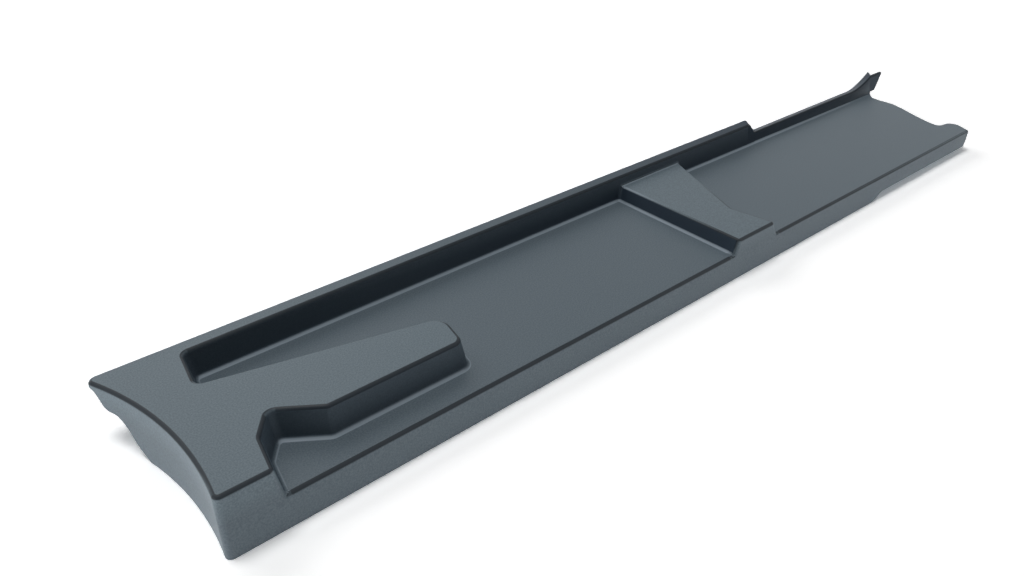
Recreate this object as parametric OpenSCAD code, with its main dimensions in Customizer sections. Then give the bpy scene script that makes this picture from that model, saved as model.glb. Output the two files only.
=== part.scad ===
// Parcel shelf bracket: the side support of a car's rear parcel shelf.
// One moulded sheet, open underneath, with a tray, a raised finger, a step and trimmed ends.
// Plan sizes are measured from the front left corner at the level of the top face,
// before the edges are rounded. Walls lean outwards on the way down, as a mould needs.

/* [Sheet] */
// Height of the top face above the lower edge of the skirt
height = 34; // [30:1:44]
// Depth from the front face to the back of the rim
depth = 114.4; // [110:0.2:125]
// Thickness of the sheet
wall = 2.5; // [1.5:0.1:3]
// Lean of the outside walls in degrees
outer_draft = 3; // [1:0.5:5]
// Lean of the bowed left end in degrees
end_draft = 0.8; // [0.2:0.1:3]
// Lean of the walls inside the outline in degrees
inner_draft = 10; // [4:1:14]
// Radius along the upper edges
edge_r = 2.5; // [1.5:0.1:3.5]
// Radius where a wall meets the floor
foot_r = 3; // [1:0.5:3.5]

/* [Left end] */
// Radius of the bowed left end
end_r = 184; // [150:1:260]
// Distance from the front to the deepest point of the bow
end_mid = 37; // [25:1:55]
// Length of the end wall that reaches down to the lower edge
end_stand = 78; // [60:1:84]
// Height of the shelf cut into the end wall's lower edge
end_shelf = 19.6; // [14:0.2:23]

/* [Tray] */
// Height of the tray floor above the lower edge of the skirt
tray_h = 18; // [14:0.5:22]
// Left wall of the tray, from the front left corner
tray_x = 26.4; // [22:0.5:30]
// How much further right that wall lies at the rim
tray_slant = 5.3; // [2:0.1:8]
// Width of the rim along the back
rim_w = 10; // [8:0.1:12]
// Radius of the tray's upright corners
tray_r = 4; // [2:0.5:6]

/* [Finger] */
// Reach of the finger from the front left corner
finger_x = 143; // [120:1:170]
// Distance from the front face to the finger's front wall
finger_y = 21; // [17:0.5:24]
// Width of the finger at its tip
tip_w = 24; // [20:0.5:28]
// How much further the tip reaches at its back corner
tip_slant = 5.5; // [0:0.5:9]
// Back wall of the finger at its root, from the front face
finger_root = 76; // [68:0.5:82]
// Radius of the tip's back corner
tip_r = 6; // [4:0.5:9]

/* [Notch] */
// Left wall of the notch at the front, from the front left corner
notch_x = 26.8; // [22:0.2:32]
// How much further right that wall lies where the pocket starts
notch_slant = 4.8; // [2:0.2:7]
// Where the pocket starts, from the front face
pocket_y = 22.3; // [18:0.1:25]
// Deepest corner of the pocket, from the front left corner
pocket_x = 42.8; // [40:0.1:46]
// Depth of the pocket from the front face
pocket_depth = 36.8; // [33:0.1:40]
// Where the finger's front wall starts
pocket_end = 65; // [60:0.5:72]

/* [Step] */
// Left edge of the step, from the front left corner
step_x = 346.5; // [300:0.5:390]
// Height of the step above the lower edge of the skirt
step_h = 27.2; // [24:0.2:29]
// Radius of the step's upright corners
step_r = 5; // [3:0.5:6]
// How much further right the left edge lies at the back
step_slant = 4; // [0:0.5:8]
// Length of the step at the front
step_front = 36; // [28:1:48]
// How much shorter the step is where its right edge turns
step_waist = 3; // [0:0.5:6]
// Length of the step at the back
step_back = 69; // [50:1:85]
// Distance from the front to where the step's right edge turns
step_turn = 31; // [20:1:45]
// Lean of the step's walls in degrees
step_draft = 25; // [10:1:35]

/* [Rim] */
// Radius along the edges of the rim's low stretch
low_r = 1.8; // [1:0.1:2]
// Height of the rim's low stretch above the lower edge of the skirt
low_h = 21.6; // [21:0.1:25]
// Where the rim's inner edge starts to drop, from the front left corner
drop_x = 498.5; // [470:0.5:540]
// Length of the drop
drop_l = 12.5; // [9:0.5:30]
// How much further right the rim's outer edge drops
drop_skew = 8; // [0:0.5:12]
// Where the rim's inner edge starts to rise again, from the front left corner
rise_x = 655; // [640:1:660]
// Length of the rise
rise_l = 33; // [24:1:34]
// How much further right the rim's outer edge rises
rise_skew = 12; // [0:0.5:14]
// Height of the turned-down lip along the back
lip_h = 5; // [4:0.5:8]

/* [Skirt] */
// Where the skirt's lower edge steps up, from the front left corner
cut_x = 514; // [470:1:560]
// How far it steps up
cut_h = 5.2; // [2:0.2:8]
// Length of that step
cut_l = 15; // [10:1:25]

/* [Right end] */
// Length of the front edge
front_l = 665; // [650:1:690]
// Reach of the nose beside the front edge, past the front edge's end
nose = 6; // [3:0.5:9]
// Depth of the hollow behind the nose
hollow = 7.5; // [4:0.5:11]
// Reach of the back corner past the front edge's end
tail = 30; // [24:1:36]
// How much further the rim's tip leans out
tip_lean = 12.5; // [6:0.5:16]

/* [Hidden] */
plastic = [0.36, 0.40, 0.43];
turn_step = 18;
round_steps = 5;
path_steps = 4;
profile_steps = 8;
// Least radius of a rounded edge, inside the sheet too
least_r = 0.4;
// How far cuts run past the sheet, and how far the hollow runs below it
reach = 20;
below = 6;
// Width of the cut along a trimmed edge
bit = 0.2;
// The raised levels stand this little proud of the floor's outside, and their feet dip as
// little into it, so that no two faces lie on each other
proud = 0.03;
// Where the cut below the lip starts, and how low the lip reaches beside the left end
lip_gap = depth - wall - 0.6;
end_lip = 3.1;
// The middle of the tray floor, which is the part's origin
seat = [(finger_x + step_x) / 2, (depth - rim_w) / 2, tray_h];

// Kinds of wall: the front and the back, those inside the outline, and the bowed end
FACE = 0;
FREE = 1;
END = 2;

// Plane geometry. A corner is [x, y, radius, kind of the wall that starts there].
function at(c) = [c[0], c[1]];
function unit(v) = v / norm(v);
function outward(v) = [v.y, -v.x];
function heading(a) = [cos(a), sin(a)];

// How far a corner moves when its two walls move by k0 and k1 along their normals
function shift(n0, n1, k0, k1) =
    [k0 * n1.y - k1 * n0.y, k1 * n0.x - k0 * n1.x] / cross(n0, n1);

// Points round one corner, each as [place, normals of its two walls, their kinds, normal there]
function corner(a, b, c) =
    let (n0 = outward(unit(at(b) - at(a))), n1 = outward(unit(at(c) - at(b))))
    let (turn = atan2(cross(n0, n1), n0 * n1), side = sign(turn), first = atan2(n0.y, n0.x))
    let (mitre = shift(n0, n1, 1, 1), centre = at(b) - side * b[2] * mitre)
    let (steps = b[2] == 0 ? 0 : max(1, ceil(abs(turn) / turn_step)))
    steps == 0
        ? [[at(b), n0, n1, a[3], b[3], mitre]]
        : [for (i = [0 : steps])
            let (n = heading(first + turn * i / steps))
            [centre + side * b[2] * n, n0, n1, a[3], b[3], n]];

function outline(cs) =
    let (n = len(cs))
    [for (i = [0 : n - 1]) each corner(cs[(i + n - 1) % n], cs[i], cs[(i + 1) % n])];

// A smooth line through the points that it is given
function spline(p, steps) =
    let (n = len(p) - 1)
    [for (i = [0 : n - 1], k = [0 : steps - 1])
        let (a = p[max(i - 1, 0)], b = p[i], c = p[i + 1], d = p[min(i + 2, n)], t = k / steps)
        0.5 * (2 * b + (c - a) * t + (2 * a - 5 * b + 4 * c - d) * t * t
            + (3 * b - a - 3 * c + d) * t * t * t),
        p[n]];

// A solid through rings with the same number of points, from the lowest to the highest
module loft(rings) {
    n = len(rings[0]);
    last = len(rings) - 1;
    sides = [for (r = [0 : last - 1], i = [0 : n - 1])
        let (j = (i + 1) % n, a = r * n, b = a + n)
        each [[a + i, b + j, a + j], [a + i, b + i, b + j]]];
    base = [for (i = [0 : n - 1]) i];
    top = [for (i = [n - 1 : -1 : 0]) last * n + i];
    polyhedron([for (r = rings) each r], concat([base, top], sides));
}

// One raised level of the sheet, from its foot on the floor to its rounded upper edge.
// With inner set to the wall's thickness it is the hollow underneath.
module level(cs, floor_h, top_h, lean, inner, out = proud) {
    points = outline(cs);
    r = max(edge_r - inner, least_r);
    f = min(foot_r + inner, (top_h - floor_h) * 0.6);
    top = top_h - inner;
    foot = floor_h - inner;
    profile = [
        [inner > 0 ? -below : 0, 0, f],
        [foot - proud, 0, f],
        for (i = [1 : round_steps])
            let (a = 90 * i / round_steps)
            [foot + f * (1 - cos(a)), 0, f * (1 - sin(a))],
        for (i = [0 : round_steps])
            let (a = 90 * i / round_steps)
            [top - r + r * sin(a), r * (1 - cos(a)), 0]
    ];
    loft([for (s = profile)
        let (z = s[0], drop = height - z)
        let (leans = [
            drop * tan(outer_draft) + out,
            (top_h - z) * tan(lean) + s[2],
            drop * tan(end_draft) + out])
        [for (p = points)
            let (o = p[0] + shift(p[1], p[2], leans[p[3]], leans[p[4]]) - (s[1] + inner) * p[5])
            [o.x, o.y, z]]]);
}

// Outline of the left end, from the back corner to the front corner
end_centre = [-sqrt(end_r * end_r - end_mid * end_mid), end_mid];
function end_x(y) = end_centre.x + sqrt(end_r * end_r - (y - end_mid) * (y - end_mid));
end_steps = 16;
end_corners = [
    [end_x(depth), depth, tray_r, END],
    for (i = [1 : end_steps - 1])
        let (y = depth * (1 - i / end_steps))
        [end_x(y), y, 0, END],
    [0, 0, wall + edge_r / 4, FACE]
];

// The outline stays square at the right, where the trim cuts it later
right_x = front_l + tail + tip_lean + reach / 2;

footprint = concat(end_corners, [[right_x, 0, 0, FACE], [right_x, depth, 0, FACE]]);

module floor_level(inner)
    level(footprint, tray_h, tray_h, 0, inner, 0);

// The left plateau with the finger and the notch, and the rim along the back
rim_y = depth - rim_w;
module plateau(inner)
    level(concat(end_corners, [
        [notch_x, 0, tray_r, FREE],
        [notch_x + notch_slant, pocket_y, tray_r, FREE],
        [pocket_x, pocket_depth, tray_r, FREE],
        [pocket_end, finger_y, tray_r, FREE],
        [finger_x, finger_y, tray_r, FREE],
        [finger_x + tip_slant, finger_y + tip_w, tip_r, FREE],
        [tray_x, finger_root, tray_r, FREE],
        [tray_x + tray_slant, rim_y, tray_r, FREE],
        [right_x, rim_y, 0, FREE],
        [right_x, depth, 0, FACE]
    ]), tray_h, height, inner_draft, inner);

module step(inner)
    level([
        [step_x, 0, step_r, FACE],
        [step_x + step_front + step_slant / 2, 0, step_r, FREE],
        [step_x + step_front - step_waist, step_turn, step_r, FREE],
        [step_x + step_back, depth - wall, 0, FREE],
        [step_x + step_slant, depth - wall, 0, FREE]
    ], tray_h, step_h, step_draft, inner);

// Height of the rim along its inner edge: level, a drop, a low stretch and a rise to the tip.
// The level parts lie just above the rim's own top, so that nothing is cut there.
rim_clear = 0.5;
function drop_at(x) = (1 + cos(180 * min(max((x - drop_x) / drop_l, 0), 1))) / 2;
function rise_at(x) = pow(min(max((x - rise_x) / rise_l, 0), 1), 1.8);
function rim_h(x) = low_h + (height + rim_clear - low_h) * max(drop_at(x), rise_at(x));

// Places along the rim, each as [x at the inner edge, x at the outer edge, height, side to which
// the hollow moves, so that the sheet stays as thick where the rim is steep]
steep = 0.8;
rim_stations = concat(
    [for (i = [0 : profile_steps])
        let (x = drop_x + drop_l * i / profile_steps)
        [x, x + drop_skew, rim_h(x), -steep]],
    [for (i = [0 : profile_steps])
        let (x = rise_x + rise_l * i / profile_steps)
        [x, x + rise_skew, rim_h(x), steep]],
    [[right_x, right_x + rise_skew, rim_h(right_x), steep]]);

// Takes the rim down to that height and rounds its two upper edges
module rim_cut(inner) {
    r = max(low_r - inner, least_r);
    near = rim_y + inner - proud;
    far = depth - inner + 2 * proud;
    over = height + below;
    function section(s) =
        let (top = s[2] - inner, side = top - r, x0 = s[0] + s[3] * inner, x1 = s[1] + s[3] * inner)
        let (front = near - (height - side) * tan(inner_draft))
        let (back = far + (height - side) * tan(outer_draft))
        let (arc = [for (i = [0 : round_steps]) r * heading(90 * i / round_steps)])
        concat(
            [[x0, front - below, over], [x0, front - below, side]],
            [for (a = arc) [x0, front + r - a.x, side + a.y]],
            [for (i = [round_steps : -1 : 0]) [x1, back - r + arc[i].x, side + arc[i].y]],
            [[x1, back + below, side], [x1, back + below, over]]);
    loft([for (s = rim_stations) section(s)]);
}

module form(inner) {
    floor_level(inner);
    step(inner);
    difference() {
        plateau(inner);
        rim_cut(inner);
    }
}

// Cuts away what lies beyond a line, as a pass with a router bit does
module trim(path, away, long)
    for (i = [0 : len(path) - 2])
        hull()
            for (p = [path[i], path[i + 1]], far = [[0, 0], away])
                translate(concat(p + far, 0)) cylinder(d = bit, h = long, $fn = 6);

// The lower edge of the left end, as [distance from the front, height]
module left_trim()
    translate([end_x(depth) - reach, 0, 0]) rotate([90, 0, 90])
        trim(spline([
            [end_stand - 2 * wall, -wall],
            [end_stand, 0],
            [end_stand + 7, end_shelf * 0.32],
            [end_stand + 12.6, end_shelf * 0.78],
            [end_stand + 17.4, end_shelf],
            [depth - 13.5, end_shelf + 0.8],
            [depth - 10.5, end_shelf + 2.6],
            [depth - 8.6, height - 8],
            [depth - 6, height - 4],
            [depth - 2, height - end_lip],
            [depth + wall, height - end_lip]
        ], path_steps), [0, -height], reach - end_x(depth) + tray_x / 2);

// The wavy right end, as [distance along the front, distance from the front]
module right_trim()
    translate([0, 0, -below]) trim(spline([
        [front_l, -2 * below],
        [front_l + 0.5, 0],
        [front_l + nose, depth * 0.1],
        [front_l + nose - 3, depth * 0.16],
        [front_l - hollow + 1.5, depth * 0.18],
        [front_l - hollow, depth * 0.23],
        [front_l - hollow + 6, depth * 0.37],
        [front_l + tail * 0.4, depth * 0.62],
        [front_l + tail * 0.45, depth * 0.76],
        [front_l + tail * 0.55, depth * 0.84],
        [front_l + tail, depth * 0.93]
    ], path_steps), [tail + tip_lean + 2 * reach, 0], below + tray_h + 2);

// A cut that runs along Y, with its outline given as [distance along the front, height]
module slot_cut(from, long, outline)
    translate([0, from, 0]) rotate([90, 0, 0]) mirror([0, 0, 1])
        linear_extrude(long) polygon(outline);

module tip_trim() {
    tip_x = front_l + tail + tip_lean;
    slot_cut(depth * 0.87, depth, [
        [front_l + tail, -below],
        [front_l + tail, tray_h + 1.5],
        [tip_x, height - 0.5],
        [tip_x - 0.5, height + 1],
        [right_x + reach, height + 1],
        [right_x + reach, -below]
    ]);
}

// Past the rise only the rim's front wall is left, with its upper edge trimmed level
module tip_opening() {
    from = rise_x + rise_l;
    function ring(z) =
        let (y = rim_y + wall - (height - z) * tan(inner_draft))
        [[from, y, z], [right_x + reach, y, z], [right_x + reach, depth + reach, z],
            [from + rise_skew * (depth + reach - y) / (depth - y), depth + reach, z]];
    loft([ring(tray_h + wall), ring(height + below)]);
}

module skirt_trim()
    slot_cut(-below, below + 2 * wall, [
        [cut_x, -below],
        [cut_x, 0],
        [cut_x + cut_l * 0.3, cut_h * 0.2],
        [cut_x + cut_l * 0.75, cut_h * 0.85],
        [cut_x + cut_l, cut_h],
        [front_l - 4, cut_h],
        [front_l - 1.5, cut_h + 5],
        [front_l - 0.5, tray_h - 3],
        [right_x + reach, tray_h - 3],
        [right_x + reach, -below]
    ]);

// Below the lip, which follows the rim, the sheet is open at the back
module back_trim() {
    left_x = end_x(depth) - reach;
    slot_cut(lip_gap, depth, concat(
        [[left_x, -below], [left_x, height - lip_h]],
        [for (s = rim_stations) [s[1], min(s[2], height) - lip_h]],
        [[right_x + reach, -below]]));
}

module shelf_bracket()
    color(plastic) translate(-seat)
        difference() {
            form(0);
            form(wall);
            left_trim();
            right_trim();
            tip_trim();
            tip_opening();
            skirt_trim();
            back_trim();
        }

shelf_bracket();
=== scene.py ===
"""Parcel shelf bracket: one moulded sheet of grained ABS, on a white studio floor."""

import math

import bmesh
import bpy
from mathutils import Matrix, Vector


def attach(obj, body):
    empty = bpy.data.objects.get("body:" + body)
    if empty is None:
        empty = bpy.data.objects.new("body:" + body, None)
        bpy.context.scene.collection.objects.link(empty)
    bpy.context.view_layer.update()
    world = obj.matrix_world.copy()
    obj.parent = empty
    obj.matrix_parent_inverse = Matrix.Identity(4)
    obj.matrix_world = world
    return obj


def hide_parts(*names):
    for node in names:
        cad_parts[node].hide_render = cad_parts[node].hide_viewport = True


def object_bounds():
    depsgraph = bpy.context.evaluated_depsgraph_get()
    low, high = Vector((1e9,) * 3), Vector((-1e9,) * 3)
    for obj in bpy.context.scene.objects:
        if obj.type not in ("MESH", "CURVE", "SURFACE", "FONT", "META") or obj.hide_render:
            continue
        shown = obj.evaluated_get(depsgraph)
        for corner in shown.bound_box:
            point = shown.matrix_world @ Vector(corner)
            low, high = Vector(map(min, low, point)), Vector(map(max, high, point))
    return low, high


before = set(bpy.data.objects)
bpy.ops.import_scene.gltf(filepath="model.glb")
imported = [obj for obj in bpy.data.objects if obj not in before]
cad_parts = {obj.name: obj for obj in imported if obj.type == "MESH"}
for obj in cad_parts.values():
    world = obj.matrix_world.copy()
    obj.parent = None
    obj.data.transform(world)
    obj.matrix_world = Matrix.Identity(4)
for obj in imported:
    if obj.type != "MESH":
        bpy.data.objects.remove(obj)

CAD_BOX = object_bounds()
NODE = "shelf_bracket"

# Sizes in millimetres. Plan places are measured from the front left corner at the top face,
# and heights from the skirt's lower edge.
HEIGHT = 34.0
DEPTH = 114.4
WALL = 2.5
OUTER_DRAFT = math.radians(3)
END_DRAFT = math.radians(0.8)
INNER_DRAFT = math.radians(10)
STEP_DRAFT = math.radians(25)
EDGE_R = 2.2
FOOT_R = 2.5
END_CORNER_R = 3.1
BACK_CORNER_R = 4.0
FRONT_CORNER_R = 3.0
STEP_SEAM_R = 2.0

# The bowed left end
END_R = 184.0
END_MID = 37.0
END_STAND = 78.0
END_SHELF = 19.6

# The levels, the rim's inner edge and the blank's right end
TRAY_H = 18.0
RIM_W = 10.0
RIM_Y = DEPTH - RIM_W
STEP_H = 27.2
RIGHT_X = 717.5

# The notch, the finger and the tray's left end
NOTCH_X = 26.8
NOTCH_SLANT = 4.8
POCKET_X = 42.8
POCKET_Y = 22.3
POCKET_DEPTH = 36.8
POCKET_END = 65.0
FINGER_X = 143.0
FINGER_Y = 21.0
FINGER_ROOT = 76.0
TIP_W = 24.0
TIP_SLANT = 5.5
TRAY_X = 26.4
TRAY_SLANT = 5.3

# The step, with its widths at the front, at the waist and at the back
STEP_X = 346.5
STEP_Y = 111.9
STEP_SLANT = 4.0
STEP_FRONT = 38.0
STEP_WAIST = 33.0
STEP_TURN = 31.0
STEP_BACK = 69.0

# The rim's drop, low stretch, rise and turned-down lip
LOW_H = 21.6
RIDGE_H = 5.4
DROP_X = 499.3
DROP_L = 11.0
DROP_ARC = 0.56
DROP_SKEW = 8.0
RISE_X = 655.0
RISE_L = 33.0
RISE_SKEW = 12.0
RISE_POWER = 1.8
LIP_H = 5.0
END_LIP = 3.1

# The trimmed right end and the higher stretch of the skirt
FRONT_L = 665.0
TAIL = 30.0
TIP_LEAN = 12.5
CUT_X = 514.0
CUT_H = 5.2
CUT_L = 15.0

# Room that the tools need past the sheet and below it, and where the raised blocks start
REACH = 20.0
BELOW = 6.0
PLATEAU_ROOT = 8.0
STEP_ROOT = 10.0

# Upper outline of the raised plateau, the finger and the rim, as (x, y, radius of the corner)
PLATEAU = [
    (-2 * REACH, -REACH, 0),
    (NOTCH_X - NOTCH_SLANT * REACH / POCKET_Y, -REACH, 0),
    (NOTCH_X + NOTCH_SLANT, POCKET_Y, 6),
    (POCKET_X, POCKET_DEPTH, 4),
    (POCKET_END, FINGER_Y, 4),
    (FINGER_X, FINGER_Y, 6.5),
    (FINGER_X + TIP_SLANT, FINGER_Y + TIP_W, 9),
    (TRAY_X, FINGER_ROOT, 4),
    (TRAY_X + TRAY_SLANT, RIM_Y, 4),
    (RIGHT_X + 1, RIM_Y, 0),
    (RIGHT_X + 1, DEPTH + REACH, 0),
    (-2 * REACH, DEPTH + REACH, 0),
]
# Upper outline of the step, in the same way
STEP = [
    (STEP_X - STEP_SLANT * REACH / STEP_Y, -REACH, 0),
    (STEP_X + STEP_FRONT + (STEP_FRONT - STEP_WAIST) * REACH / STEP_TURN, -REACH, 0),
    (STEP_X + STEP_WAIST, STEP_TURN, 5),
    (STEP_X + STEP_BACK, STEP_Y, 0),
    (STEP_X + STEP_SLANT, STEP_Y, 0),
]

# A millimetre in metres, and the part's origin in millimetres
MM = 0.001
SEAT = Vector((244.75, 52.2, 18.0))

# Material index of the faces that a trim leaves, and how near a point is to a plane to be on it
CUT_FACE = 1
ON_PLANE = 1e-3
# Edges that fold by less than this stay as they are
FLAT_ANGLE = math.radians(14)
# Faces wider than this are flat, and a rounding's vertex folds by this much in all
FLAT_WIDTH = 1.0
FULL_BEND = math.radians(24)
# Places along the front edge where the foot of a wall ends, and how far they are blended
FOOT_ENDS = (28.3, 342.8, 387.5)
BLEND_R = 4.5
BLEND_ROUNDS = 10

# The photograph's camera, solved from its straight edges: it looks down and to the right
CAMERA_PLACE = (-0.31629, -0.31408, 0.26596)
CAMERA_DOWN = 31.723
CAMERA_RIGHT = 41.157
SENSOR = 36.0
LENS = 30.166


def ramp(value, start, end):
    """0 up to start, 1 from end on, and even between the two."""
    return min(max((value - start) / (end - start), 0), 1)


def outward(a, b):
    """The outward normal of the wall from a to b, on an outline that runs anticlockwise."""
    d = (b - a).normalized()
    return Vector((d.y, -d.x))


def leaned(outline, out):
    """The outline's corners with every wall moved outwards by the same distance."""
    plan = [Vector((x, y)) for x, y, _ in outline]
    moved = []
    for i, here in enumerate(plan):
        n0 = outward(plan[i - 1], here)
        n1 = outward(here, plan[(i + 1) % len(plan)])
        moved.append(here + (n0 + n1) * (out / (1 + n0.dot(n1))))
    return moved


def new_piece(bm, name):
    mesh = bpy.data.meshes.new(name)
    bm.to_mesh(mesh)
    bm.free()
    obj = bpy.data.objects.new(name, mesh)
    bpy.context.scene.collection.objects.link(obj)
    return obj


def raised_block(name, outline, low, top, draft):
    """A block with leaning walls, from its upper outline."""
    bm = bmesh.new()
    upper = [bm.verts.new((x, y, top)) for x, y, _ in outline]
    foot = dict(zip(upper, leaned(outline, (top - low) * math.tan(draft))))
    made = bmesh.ops.extrude_face_region(bm, geom=[bm.faces.new(upper)])["geom"]
    for v in [g for g in made if isinstance(g, bmesh.types.BMVert)]:
        above = next(e.other_vert(v) for e in v.link_edges if e.other_vert(v) in foot)
        v.co = (*foot[above], low)
    bmesh.ops.recalc_face_normals(bm, faces=bm.faces)
    return new_piece(bm, name)


def floor_slab():
    """The sheet's floor level as a plain slab."""
    bm = bmesh.new()
    bmesh.ops.create_cube(bm, size=1)
    lo = Vector((-30, -REACH - 1, -BELOW))
    hi = Vector((RIGHT_X, DEPTH + REACH + 1, TRAY_H))
    for v in bm.verts:
        v.co = [hi[i] if v.co[i] > 0 else lo[i] for i in range(3)]
    return new_piece(bm, "slab")


def end_x(y):
    """Where the bowed left end lies at the top face."""
    return math.sqrt(END_R ** 2 - (y - END_MID) ** 2) - math.sqrt(END_R ** 2 - END_MID ** 2)


def arc(centre, radius, start, end, steps):
    """Points on an arc between two angles, both ends included."""
    angles = [start + (end - start) * i / steps for i in range(steps + 1)]
    return [(centre[0] + radius * math.cos(a), centre[1] + radius * math.sin(a)) for a in angles]


def end_line(z):
    """The bowed left end in plan at a height, with its rounded corners, from front to back."""
    lean = (HEIGHT - z) * math.tan(OUTER_DRAFT)
    bow = END_R - (HEIGHT - z) * math.tan(END_DRAFT)
    middle = (end_x(END_MID) - END_R, END_MID)
    places = ((END_CORNER_R - lean, END_CORNER_R), (DEPTH - BACK_CORNER_R + lean, BACK_CORNER_R))
    corners = []
    for y, radius in places:
        x = middle[0] + math.sqrt((bow + radius) ** 2 - (y - END_MID) ** 2)
        corners.append((x, y))
    front, back = (math.atan2(y - middle[1], x - middle[0]) for x, y in corners)
    return (arc(corners[0], END_CORNER_R, math.pi * 1.5, math.pi + front, 10)
            + arc(middle, bow, front, back, 24)[1:-1]
            + arc(corners[1], BACK_CORNER_R, math.pi + back, math.pi * 0.5, 10))


def end_bite():
    """The tool that bows the left end and rounds its corners."""
    bm = bmesh.new()
    rings = []
    for z in (-BELOW - 2, HEIGHT + 2):
        line = end_line(z)
        plan = [(-3 * REACH, -2 * REACH), (line[0][0], -2 * REACH)] + line + [
            (line[-1][0], DEPTH + 2 * REACH), (-3 * REACH, DEPTH + 2 * REACH)]
        rings.append([bm.verts.new((x, y, z)) for x, y in plan])
        bm.faces.new(rings[-1])
    bmesh.ops.bridge_loops(bm, edges=[e for f in bm.faces for e in f.edges])
    bmesh.ops.triangulate(bm, faces=[f for f in bm.faces if len(f.verts) == 4])
    bmesh.ops.recalc_face_normals(bm, faces=bm.faces)
    return new_piece(bm, "end_bite")


def extruded(name, outline, axis, length):
    """A cutting tool: an outline in space, pulled a length along an axis."""
    bm = bmesh.new()
    face = bm.faces.new([bm.verts.new(p) for p in outline])
    made = bmesh.ops.extrude_face_region(bm, geom=[face])["geom"]
    verts = [g for g in made if isinstance(g, bmesh.types.BMVert)]
    bmesh.ops.translate(bm, verts=verts, vec=Vector(axis) * length)
    bmesh.ops.recalc_face_normals(bm, faces=bm.faces)
    return new_piece(bm, name)


def boolean(obj, tool, operation, solver="EXACT"):
    """Joins or cuts obj with tool, which is used up. The tool's faces keep their material index."""
    modifier = obj.modifiers.new("tool", "BOOLEAN")
    modifier.solver = solver
    modifier.operation = operation
    modifier.object = tool
    settle(obj)
    bpy.data.objects.remove(tool)


def settle(obj):
    """Turns the result of obj's modifiers into its mesh."""
    graph = bpy.context.evaluated_depsgraph_get()
    mesh = bpy.data.meshes.new_from_object(obj.evaluated_get(graph))
    obj.modifiers.clear()
    obj.data = mesh


def eased(t):
    """Falls from 1 to 0 along two arcs, with a radius of DROP_ARC times its length."""
    near = max(min(t, 1 - t), 0)
    part = DROP_ARC - math.sqrt(DROP_ARC ** 2 - near ** 2)
    part /= 2 * (DROP_ARC - math.sqrt(DROP_ARC ** 2 - 0.25))
    return 1 - part if t < 0.5 else part


def rim_top(x, low):
    """The rim's height along its inner edge: a drop, a stretch at the height low, and a rise."""
    rise = ramp(x, RISE_X, RISE_X + RISE_L) ** RISE_POWER
    return low + (HEIGHT - low) * (eased((x - DROP_X) / DROP_L) + rise)


def rim_skew(x):
    """How much further right the rim's outer edge drops and rises than its inner edge."""
    return DROP_SKEW + (RISE_SKEW - DROP_SKEW) * ramp(x, DROP_X, RISE_X)


def rim_stations(steps=16):
    """The places along the rim where its drop and its rise are drawn."""
    drop = [DROP_X + DROP_L * i / steps for i in range(steps + 1)]
    return drop + [RISE_X + RISE_L * i / steps for i in range(steps + 1)]


def press_rim(bm):
    """Presses the rim and its lip down along the drop and the low stretch, where its inner edge
    stays higher as a ridge, and leaves its foot."""
    for x in rim_stations():
        near = [f for f in bm.faces if f.calc_center_median().y > RIM_Y - 6]
        near += list({e for f in near for e in f.edges}) + list({v for f in near for v in f.verts})
        across = Vector((rim_skew(x), RIM_W, 0))
        bmesh.ops.bisect_plane(
            bm, geom=near, dist=ON_PLANE, plane_co=(x, RIM_Y, 0), plane_no=across.cross((0, 0, 1)))
    for v in bm.verts:
        if v.co.y > RIM_Y - 3 and v.co.z > (HEIGHT + TRAY_H) / 2:
            along = v.co.x - rim_skew(v.co.x) * (v.co.y - RIM_Y) / RIM_W
            outer = ramp(v.co.y, RIM_Y, DEPTH)
            inner = 1 - outer
            down = HEIGHT - rim_top(along, LOW_H + RIDGE_H * inner)
            v.co.z -= down
            v.co.y += down * (outer * math.tan(OUTER_DRAFT) - inner * math.tan(INNER_DRAFT))


def slope_cut(bm, place, normal):
    """Cuts off what lies past a plane and closes the cut with one face."""
    whole = bm.verts[:] + bm.edges[:] + bm.faces[:]
    cut = bmesh.ops.bisect_plane(
        bm, geom=whole, dist=ON_PLANE, plane_co=place, plane_no=normal, clear_outer=True)
    edges = [g for g in cut["geom_cut"] if isinstance(g, bmesh.types.BMEdge)]
    bmesh.ops.holes_fill(bm, edges=edges, sides=0)


def sharp_form():
    """The sheet's outside as a solid with sharp edges."""
    form = floor_slab()
    boolean(form, raised_block("plateau", PLATEAU, PLATEAU_ROOT, HEIGHT, INNER_DRAFT), "UNION")
    boolean(form, raised_block("step", STEP, STEP_ROOT, STEP_H, STEP_DRAFT), "UNION")
    boolean(form, end_bite(), "DIFFERENCE")
    bm = bmesh.new()
    bm.from_mesh(form.data)
    slant = math.tan(OUTER_DRAFT)
    slope_cut(bm, (0, 0, HEIGHT), (0, -1, slant))
    slope_cut(bm, (0, DEPTH, HEIGHT), (0, 1, slant))
    bmesh.ops.dissolve_limit(
        bm, angle_limit=math.radians(0.9), verts=bm.verts[:], edges=bm.edges[:])
    bmesh.ops.recalc_face_normals(bm, faces=bm.faces)
    bm.to_mesh(form.data)
    bm.free()
    return form


def arc_offset(edge, radius):
    """The bevel offset that gives a radius at this edge."""
    return radius * math.tan(edge.calc_face_angle() / 2)


def round_uprights(bm):
    """Rounds the upright corners that lie inside the outline."""
    for x, y, radius in [c for c in PLATEAU + STEP if c[2] > 0]:
        place = Vector((x, y))
        found = []
        for e in bm.edges:
            low, high = sorted((v.co for v in e.verts), key=lambda co: co.z)
            if (high.xy - place).length < 0.5 and high.z - low.z > 5:
                found.append(e)
        bmesh.ops.bevel(
            bm, geom=found, offset=arc_offset(found[0], radius), offset_type="OFFSET",
            segments=8, profile=0.5, affect="EDGES", material=-1)


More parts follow.
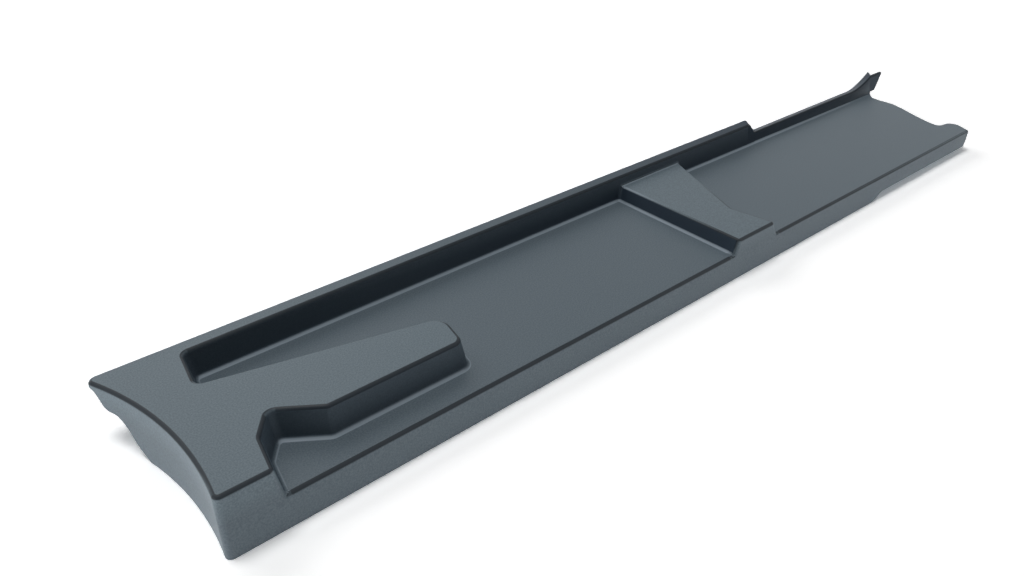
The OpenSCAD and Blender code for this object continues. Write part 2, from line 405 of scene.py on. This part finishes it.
def edge_radius(edge):
    """The radius of an edge that runs along the sheet, or 0 for one that stays sharp."""
    a, b = (v.co for v in edge.verts)
    if len(edge.link_faces) != 2 or abs(edge.calc_face_angle()) < FLAT_ANGLE:
        return 0
    if max(a.z, b.z) < 0.1 or min(a.x, b.x) > RIGHT_X - 1:
        return 0
    if edge.calc_face_angle_signed() < 0:
        on_step = abs(a.z - STEP_H) < 0.1 and abs(b.z - STEP_H) < 0.1
        return STEP_SEAM_R if on_step else FOOT_R
    if abs(a.z - b.z) > 5:
        return FRONT_CORNER_R
    return EDGE_R


def round_edges(form):
    """Rounds the upper edges and the feet of the walls, each with its own radius."""
    bm = bmesh.new()
    bm.from_mesh(form.data)
    round_uprights(bm)
    weight = bm.edges.layers.float.new("bevel_weight_edge")
    widths = {}
    for e in bm.edges:
        radius = edge_radius(e)
        if radius:
            widths[e] = arc_offset(e, radius)
    widest = max(widths.values())
    for e, width in widths.items():
        e[weight] = width / widest
    bm.to_mesh(form.data)
    bm.free()
    modifier = form.modifiers.new("edges", "BEVEL")
    modifier.limit_method = "WEIGHT"
    modifier.offset_type = "OFFSET"
    modifier.width = widest
    modifier.segments = 6
    modifier.use_clamp_overlap = False
    settle(form)


def blend_foot_ends(bm):
    """Blends the corners at the front edge in which the foot of a wall ends. The faces there are
    cut smaller first, so that only what is close by moves."""
    for x in FOOT_ENDS:
        place = Vector((x, 0, TRAY_H))
        for way in ((0, 1, 0), (1, 0, 0), (-1, 0, 0)):
            for part in (1, 0.8, 0.6, 0.4):
                near = [v for v in bm.verts if (v.co - place).length < BLEND_R * 1.1]
                edges = {e for v in near for e in v.link_edges}
                faces = {f for v in near for f in v.link_faces}
                bmesh.ops.bisect_plane(
                    bm, geom=near + list(edges) + list(faces), dist=ON_PLANE,
                    plane_co=place + Vector(way) * BLEND_R * part, plane_no=way)
        near = [v for v in bm.verts if (v.co - place).length < BLEND_R]
        near = [v for v in near if max(e.calc_length() for e in v.link_edges) < BLEND_R / 2]
        for _ in range(BLEND_ROUNDS):
            bmesh.ops.smooth_vert(
                bm, verts=near, factor=0.5, use_axis_x=True, use_axis_y=True, use_axis_z=True)


def smooth_line(points, steps=8):
    """A smooth line through the points that it is given."""
    line = []
    for i in range(len(points) - 1):
        a, b = Vector(points[max(i - 1, 0)]), Vector(points[i])
        c, d = Vector(points[i + 1]), Vector(points[min(i + 2, len(points) - 1)])
        for k in range(steps):
            t = k / steps
            line.append(0.5 * (2 * b + (c - a) * t + (2 * a - 5 * b + 4 * c - d) * t ** 2
                               + (3 * b - a - 3 * c + d) * t ** 3))
    return line + [Vector(points[-1])]


def left_cutter():
    """Trims the left end's lower edge, with its line as (distance from the front, height)."""
    line = smooth_line([
        (END_STAND - 2 * WALL, -WALL),
        (END_STAND, 0),
        (END_STAND + 7, END_SHELF * 0.32),
        (END_STAND + 12.6, END_SHELF * 0.78),
        (END_STAND + 17.4, END_SHELF),
        (DEPTH - 13.5, END_SHELF + 0.8),
        (DEPTH - 10.5, END_SHELF + 2.6),
        (DEPTH - 8.6, HEIGHT - 8),
        (DEPTH - 6, HEIGHT - 4),
        (DEPTH - 2, HEIGHT - END_LIP),
        (DEPTH + 4, HEIGHT - END_LIP),
    ])
    left = -2 * REACH
    points = [(left, y, z) for y, z in line]
    points += [(left, DEPTH + 4, -2 * REACH), (left, END_STAND - 2 * WALL, -2 * REACH)]
    return extruded("left_cutter", points, (1, 0, 0), 2 * REACH + 13)


def right_cutter():
    """Trims the wavy right end, with its line as (distance along the front, from the front)."""
    line = smooth_line([
        (FRONT_L, -12),
        (FRONT_L + 0.5, 0),
        (FRONT_L + 6, DEPTH * 0.1),
        (FRONT_L + 3, DEPTH * 0.16),
        (FRONT_L - 6, DEPTH * 0.18),
        (FRONT_L - 7.5, DEPTH * 0.23),
        (FRONT_L - 1.5, DEPTH * 0.37),
        (FRONT_L + TAIL * 0.4, DEPTH * 0.62),
        (FRONT_L + TAIL * 0.45, DEPTH * 0.76),
        (FRONT_L + TAIL * 0.55, DEPTH * 0.84),
        (FRONT_L + TAIL, DEPTH * 0.93),
    ])
    low = -BELOW - 3
    far = RIGHT_X + REACH
    points = [(x, y, low) for x, y in line]
    points += [(FRONT_L + TAIL, DEPTH + REACH, low), (far, DEPTH + REACH, low), (far, -12, low)]
    return extruded("right_cutter", points, (0, 0, 1), TRAY_H + 2 - low)


def tip_cutter():
    """Leans the end of the rim's tip."""
    tip = FRONT_L + TAIL + TIP_LEAN
    far = RIGHT_X + 2 * REACH
    outline = [
        (FRONT_L + TAIL, -REACH), (FRONT_L + TAIL, TRAY_H + 1.5), (tip, HEIGHT - 0.5),
        (tip - 0.5, HEIGHT + 1), (far, HEIGHT + 1), (far, -REACH)]
    points = [(x, DEPTH * 0.87, z) for x, z in outline]
    return extruded("tip_cutter", points, (0, 1, 0), DEPTH)


def tip_opener():
    """Leaves only the rim's front wall past the rise."""
    start = RISE_X + RISE_L
    low = TRAY_H + WALL
    top = HEIGHT + REACH
    slope = math.tan(INNER_DRAFT)
    near = RIM_Y + WALL - (HEIGHT - TRAY_H) * slope
    points = [
        (start, near, low), (start, near + (top - low) * slope, top),
        (start, DEPTH + REACH, top), (start, DEPTH + REACH, low)]
    tool = extruded("tip_opener", points, (1, 0, 0), 3 * REACH)
    for v in tool.data.vertices:
        v.co.x += RISE_SKEW * (v.co.y - RIM_Y) / RIM_W
    return tool


def skirt_cutter():
    """Steps the skirt's lower edge up towards the right end."""
    outline = [
        (CUT_X, -REACH), (CUT_X, 0), (CUT_X + CUT_L * 0.3, CUT_H * 0.2),
        (CUT_X + CUT_L * 0.75, CUT_H * 0.85), (CUT_X + CUT_L, CUT_H),
        (FRONT_L - 4, CUT_H), (FRONT_L - 1.5, CUT_H + 5), (FRONT_L - 0.5, TRAY_H - 3),
        (RIGHT_X + REACH, TRAY_H - 3), (RIGHT_X + REACH, -REACH)]
    points = [(x, -REACH, z) for x, z in outline]
    return extruded("skirt_cutter", points, (0, 1, 0), REACH + 5)


def back_cutter():
    """Opens the back below the rim's turned-down lip."""
    outline = [
        (-2 * REACH, -REACH), (-2 * REACH, HEIGHT - LIP_H),
        (RIGHT_X + 2 * REACH, HEIGHT - LIP_H), (RIGHT_X + 2 * REACH, -REACH)]
    points = [(x, DEPTH - WALL, z) for x, z in outline]
    return extruded("back_cutter", points, (0, 1, 0), REACH)


def mark_sheet(bm):
    """Notes on each vertex how far it lies on a wall between two levels, for painted shade on the
    walls, and how far the sheet bends there, 1 outwards and -1 inwards, for painted shade on outer
    bends and a painted highlight in inner ones. Walls at the step and along the rim's low stretch
    get the most painted shade. A bend is painted where it faces up: an outer one if it doesn't face
    the back, and an inner one if it doesn't face right, and less past the drop."""
    # Masks for painted shade on the walls, and for painted shade and highlight on the bends
    edge_shading = bm.verts.layers.float.new("edge_shading")
    wall_shade = bm.verts.layers.float.new("wall_shade")
    bm.normal_update()
    for v in bm.verts:
        x, y, z = v.co
        # Painted shade on the walls between levels, most at the step and along the rim's low
        # stretch
        if z > TRAY_H - 0.5 and 1.2 < y < DEPTH - 2 and x > end_x(y) + 4:
            deep = 1 if x > STEP[0][0] - 8 and y < RIM_Y - 2 else 0.75
            v[wall_shade] = deep * ramp(v.normal.z, 0.9, 0.5)
        if y > RIM_Y - 2 and x > DROP_X:
            v[wall_shade] = 1
        widths = [2 * f.calc_area() / sum(e.calc_length() for e in f.edges) for f in v.link_faces]
        folds = [e.calc_face_angle_signed() for e in v.link_edges if len(e.link_faces) == 2]
        # Painted shade on outer bends and a painted highlight in inner ones, only where they face
        # up and not back or right
        if folds and max(widths) < FLAT_WIDTH:
            fold = sum(folds)
            if fold > 0:
                shown = ramp(v.normal.z, 0.2, 0.5) * ramp(v.normal.y, 0.3, 0)
            else:
                shown = ramp(v.normal.z, 0.55, 0.85) * ramp(v.normal.x, 0.35, 0.05)
                shown *= max(0.3, ramp(x, DROP_X + 60, DROP_X - 20))
            v[edge_shading] = max(-1, min(fold / FULL_BEND, 1)) * shown


def trim(form):
    """Cuts the moulded form along its trim lines and leaves only its outside as an open sheet."""
    kinds = [bpy.data.materials.new(name) for name in ("outside", "cut")]
    form.data.materials.clear()
    for kind in kinds:
        form.data.materials.append(kind)
    cutters = (left_cutter, right_cutter, tip_cutter, tip_opener, skirt_cutter, back_cutter)
    for tool in [cutter() for cutter in cutters]:
        for kind in kinds:
            tool.data.materials.append(kind)
        for face in tool.data.polygons:
            face.material_index = CUT_FACE
        boolean(form, tool, "DIFFERENCE", "MANIFOLD")
    bm = bmesh.new()
    bm.from_mesh(form.data)
    cut = [f for f in bm.faces if f.material_index == CUT_FACE]
    bmesh.ops.delete(bm, geom=cut, context="FACES")
    whole = bm.verts[:] + bm.edges[:] + bm.faces[:]
    bmesh.ops.bisect_plane(
        bm, geom=whole, dist=1e-5, plane_co=(0, 0, 0), plane_no=(0, 0, 1), clear_inner=True)
    bmesh.ops.remove_doubles(bm, verts=bm.verts, dist=0.005)
    bmesh.ops.dissolve_degenerate(bm, edges=bm.edges, dist=0.005)
    press_rim(bm)
    blend_foot_ends(bm)
    mark_sheet(bm)
    bmesh.ops.triangulate(bm, faces=[f for f in bm.faces if len(f.verts) > 4])
    bm.to_mesh(form.data)
    bm.free()


def moulded_sheet():
    """The whole bracket as one sheet, placed in the part's frame in metres."""
    form = sharp_form()
    round_edges(form)
    trim(form)
    solid = form.modifiers.new("thickness", "SOLIDIFY")
    solid.thickness = WALL
    solid.offset = -1
    solid.use_quality_normals = True
    settle(form)
    # The thickness reaches a little below the lower edge, where the skirt leans
    for v in form.data.vertices:
        v.co.z = max(v.co.z, 0)
    form.data.transform(Matrix.Scale(MM, 4) @ Matrix.Translation(-SEAT))
    form.data.polygons.foreach_set("use_smooth", [True] * len(form.data.polygons))
    form.data.set_sharp_from_angle(angle=math.radians(38))
    form.modifiers.new("normals", "WEIGHTED_NORMAL").keep_sharp = True
    form.name = NODE + "_moulding"
    return form


def linear(code):
    """A colour as RGBA in linear light, from its sRGB hex code."""
    parts = [int(code[i:i + 2], 16) / 255 for i in (1, 3, 5)]
    return (*[p / 12.92 if p <= 0.04045 else ((p + 0.055) / 1.055) ** 2.4 for p in parts], 1)


def add_node(tree, kind, settings=None, inputs=None):
    """Adds a node with its settings and with values or links for its inputs."""
    node = tree.nodes.new(kind)
    for name, value in (settings or {}).items():
        setattr(node, name, value)
    for name, value in (inputs or {}).items():
        if isinstance(value, bpy.types.NodeSocket):
            tree.links.new(value, node.inputs[name])
        else:
            node.inputs[name].default_value = value
    return node


def mixed(tree, factor, first, second):
    """A mix of two colours, each a hex code or a socket."""
    mix = add_node(tree, "ShaderNodeMix", {"data_type": "RGBA"}, {"Factor": factor})
    for socket, value in ((mix.inputs[6], first), (mix.inputs[7], second)):
        if isinstance(value, str):
            socket.default_value = linear(value)
        else:
            tree.links.new(value, socket)
    return mix.outputs[2]


def new_material(name):
    material = bpy.data.materials.new(name)
    material.use_nodes = True
    material.node_tree.nodes.clear()
    return material, material.node_tree


def grained_abs():
    """Moulded ABS sheet with a fine matt grain: dark blue-grey, a little paler on the raised
    levels, with painted shade on the lower floors and on the walls between levels, painted shade
    on the outer edges and a painted highlight in the inner ones."""
    material, tree = new_material("grained_abs")
    place = add_node(tree, "ShaderNodeTexCoord")
    # The real grain is about 0.3 mm, and is drawn at 0.8 mm so that it shows
    grain = add_node(tree, "ShaderNodeTexNoise", inputs={
        "Vector": place.outputs["Object"], "Scale": 1 / (0.8 * MM), "Detail": 3.0,
        "Roughness": 0.6})
    bump = add_node(tree, "ShaderNodeBump", inputs={
        "Height": grain.outputs["Fac"], "Strength": 0.35, "Distance": 0.12 * MM})
    speckle = add_node(tree, "ShaderNodeMapRange", inputs={
        "Value": grain.outputs["Fac"], "From Min": 0.35, "From Max": 0.65})
    # Painted shade: the lower floors a little darker than the raised levels
    height = add_node(tree, "ShaderNodeSeparateXYZ", inputs={"Vector": place.outputs["Object"]})
    raised = add_node(tree, "ShaderNodeMapRange", inputs={
        "Value": height.outputs["Z"], "From Min": 0.0, "From Max": 12 * MM})
    low = mixed(tree, speckle.outputs["Result"], "#4f5b63", "#5f6b73")
    high = mixed(tree, speckle.outputs["Result"], "#58656d", "#69777f")
    tone = mixed(tree, raised.outputs["Result"], low, high)
    # Painted shade on the walls between levels
    wall_shade = add_node(tree, "ShaderNodeAttribute", {"attribute_name": "wall_shade"})
    tone = mixed(tree, wall_shade.outputs["Fac"], tone, "#2a3540")
    # Painted shade on the outer edges and a painted highlight in the inner ones
    edge_shading = add_node(tree, "ShaderNodeAttribute", {"attribute_name": "edge_shading"})
    outer = add_node(tree, "ShaderNodeMapRange", inputs={
        "Value": edge_shading.outputs["Fac"], "From Min": 0.15, "From Max": 0.8})
    inner = add_node(tree, "ShaderNodeMapRange", inputs={
        "Value": edge_shading.outputs["Fac"], "From Min": 0.0, "From Max": -0.6})
    tone = mixed(tree, inner.outputs["Result"], tone, "#838f99")
    tone = mixed(tree, outer.outputs["Result"], tone, "#171f26")
    # The walls with painted shade also get less gloss, which darkens them further
    gloss = add_node(tree, "ShaderNodeMapRange", inputs={
        "Value": wall_shade.outputs["Fac"], "To Min": 0.25, "To Max": 0.1})
    shader = add_node(tree, "ShaderNodeBsdfPrincipled", inputs={
        "Base Color": tone, "Roughness": 0.5, "IOR": 1.5,
        "Specular IOR Level": gloss.outputs["Result"], "Normal": bump.outputs["Normal"]})
    add_node(tree, "ShaderNodeOutputMaterial", inputs={"Surface": shader.outputs["BSDF"]})
    return material


def seen_rays(tree):
    """1 for what the camera sees directly, in gloss or through glass, and 0 for the rest."""
    path = add_node(tree, "ShaderNodeLightPath")
    gloss = add_node(tree, "ShaderNodeMath", {"operation": "MAXIMUM"}, {
        0: path.outputs["Is Camera Ray"], 1: path.outputs["Is Glossy Ray"]})
    return add_node(tree, "ShaderNodeMath", {"operation": "MAXIMUM"}, {
        0: gloss.outputs[0], 1: path.outputs["Is Transmission Ray"]}).outputs[0]


def white_paper():
    """Matt white paper: two layers of white, which clip where they are lit and keep the shadow,
    and a glow further off. For the object's other rays the paper glows by itself, a painted
    bounce light that lights its sides."""
    material, tree = new_material("white_paper")
    place = add_node(tree, "ShaderNodeTexCoord")
    away = add_node(tree, "ShaderNodeVectorMath", {"operation": "LENGTH"}, {
        0: place.outputs["Object"]})
    # In metres from the part's origin
    lit = add_node(tree, "ShaderNodeMapRange", inputs={
        "Value": away.outputs["Value"], "From Min": 0.55, "From Max": 1.3, "To Min": 0.04,
        "To Max": 1.0})
    glow = add_node(tree, "ShaderNodeEmission", inputs={
        "Color": (1, 1, 1, 1), "Strength": lit.outputs["Result"]})
    paper = add_node(tree, "ShaderNodeBsdfDiffuse", inputs={"Color": linear("#f2f2f2")})
    lift = add_node(tree, "ShaderNodeBsdfDiffuse", inputs={"Color": linear("#d2d2d2")})
    bright = add_node(tree, "ShaderNodeAddShader", inputs={
        0: paper.outputs[0], 1: lift.outputs[0]})
    both = add_node(tree, "ShaderNodeAddShader", inputs={
        0: bright.outputs[0], 1: glow.outputs[0]})
    # The paper's own glow, seen only by the object: a painted bounce light on its sides and end
    bounce_glow = add_node(tree, "ShaderNodeEmission", inputs={"Color": (1, 1, 1, 1), "Strength": 0.85})
    under = add_node(tree, "ShaderNodeAddShader", inputs={
        0: paper.outputs[0], 1: bounce_glow.outputs[0]})
    mix = add_node(tree, "ShaderNodeMixShader", inputs={
        0: seen_rays(tree), 1: under.outputs[0], 2: both.outputs[0]})
    add_node(tree, "ShaderNodeOutputMaterial", inputs={"Surface": mix.outputs[0]})
    return material


def studio_floor(lowest):
    """A plain floor under the part's lowest point."""
    bm = bmesh.new()
    bmesh.ops.create_grid(bm, x_segments=1, y_segments=1, size=6)
    bmesh.ops.translate(bm, verts=bm.verts, vec=(0, 0, lowest))
    floor = new_piece(bm, "studio_floor")
    floor.data.materials.append(white_paper())


def white_world():
    """White where it is seen, and a weak even light for the object."""
    world = bpy.data.worlds.new("studio")
    world.use_nodes = True
    tree = world.node_tree
    tree.nodes.clear()
    soft = add_node(tree, "ShaderNodeBackground", inputs={"Color": (1, 1, 1, 1), "Strength": 0.02})
    seen = add_node(tree, "ShaderNodeBackground", inputs={"Color": (1, 1, 1, 1), "Strength": 1.0})
    mix = add_node(tree, "ShaderNodeMixShader", inputs={
        0: seen_rays(tree), 1: soft.outputs[0], 2: seen.outputs[0]})
    add_node(tree, "ShaderNodeOutputWorld", inputs={"Surface": mix.outputs[0]})
    bpy.context.scene.world = world


def soft_box(name, place, aim, size, power):
    """A rectangular lamp that faces a point."""
    lamp = bpy.data.lights.new(name, "AREA")
    lamp.shape = "RECTANGLE"
    lamp.size, lamp.size_y = size
    lamp.energy = power
    obj = bpy.data.objects.new(name, lamp)
    obj.location = place
    obj.rotation_euler = (Vector(aim) - Vector(place)).to_track_quat("-Z", "Y").to_euler()
    bpy.context.scene.collection.objects.link(obj)


def studio_lights():
    """A soft key, a sheen over the tops, a weak fill and a strip that grazes the bowed end."""
    soft_box("key_above", (-0.65, 0.45, 3.9), (0, 0, 0), (1.4, 1.4), 73)
    soft_box("sheen_behind", (-0.15, 1.55, 1.35), (0, 0, 0), (2.2, 1.2), 13.5)
    soft_box("fill_front", (1.2, -1.4, 1.3), (0.2, 0, 0), (0.8, 0.6), 5.5)
    soft_box("end_strip", (-0.62, 0, 0), (0, 0, 0), (0.25, 0.03), 0.55)


def camera():
    """The photograph's view: seen from the front left and above."""
    data = bpy.data.cameras.new("photo_view")
    data.sensor_width = SENSOR
    data.lens = LENS
    data.clip_start = 0.01
    obj = bpy.data.objects.new("photo_view", data)
    obj.location = CAMERA_PLACE
    obj.rotation_euler = (math.radians(90 - CAMERA_DOWN), 0, math.radians(-CAMERA_RIGHT))
    bpy.context.scene.collection.objects.link(obj)
    bpy.context.scene.camera = obj


camera()
bracket = moulded_sheet()
bracket.data.materials.clear()
bracket.data.materials.append(grained_abs())
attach(bracket, "root")
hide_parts(NODE)

studio_floor(CAD_BOX[0].z)
white_world()
studio_lights()
bpy.context.scene.view_settings.view_transform = "Standard"
